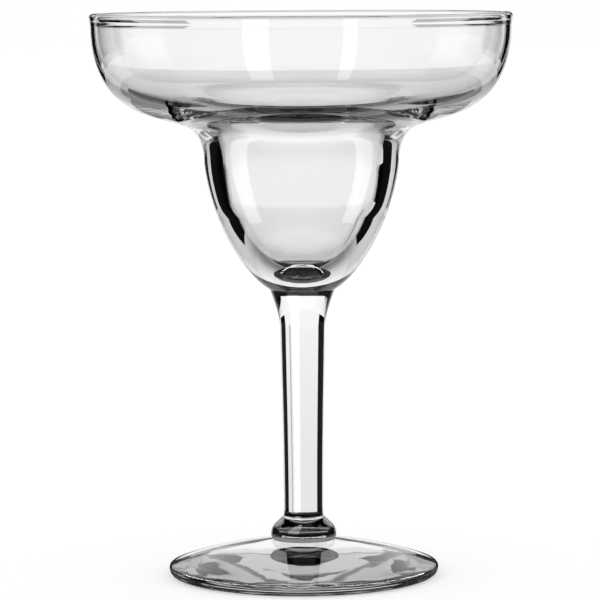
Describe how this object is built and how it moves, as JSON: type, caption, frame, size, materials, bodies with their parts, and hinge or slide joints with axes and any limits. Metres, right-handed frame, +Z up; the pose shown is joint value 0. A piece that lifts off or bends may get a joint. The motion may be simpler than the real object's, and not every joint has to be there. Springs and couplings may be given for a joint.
{
  "type": "margarita glass",
  "caption": "Clear stemmed cocktail glass: a wide beaded saucer over a narrow rounded cup, on a tapered stem with a knop and a domed round foot.",
  "frame": {"origin": "centre of the flat ring under the foot that the glass stands on", "axes": "+Z up along the axis that every piece is turned about, from the foot to the rim; +X and +Y are any two square directions, because the glass is round"},
  "size_m": [0.1148, 0.1148, 0.154],
  "materials": {
    "clear_glass": "clear soda-lime glass, fire-polished"
  },
  "bodies": {
    "root": {"foot": "clear_glass", "knop": "clear_glass", "stem": "clear_glass", "bowl": "clear_glass"}
  },
  "joints": []
}
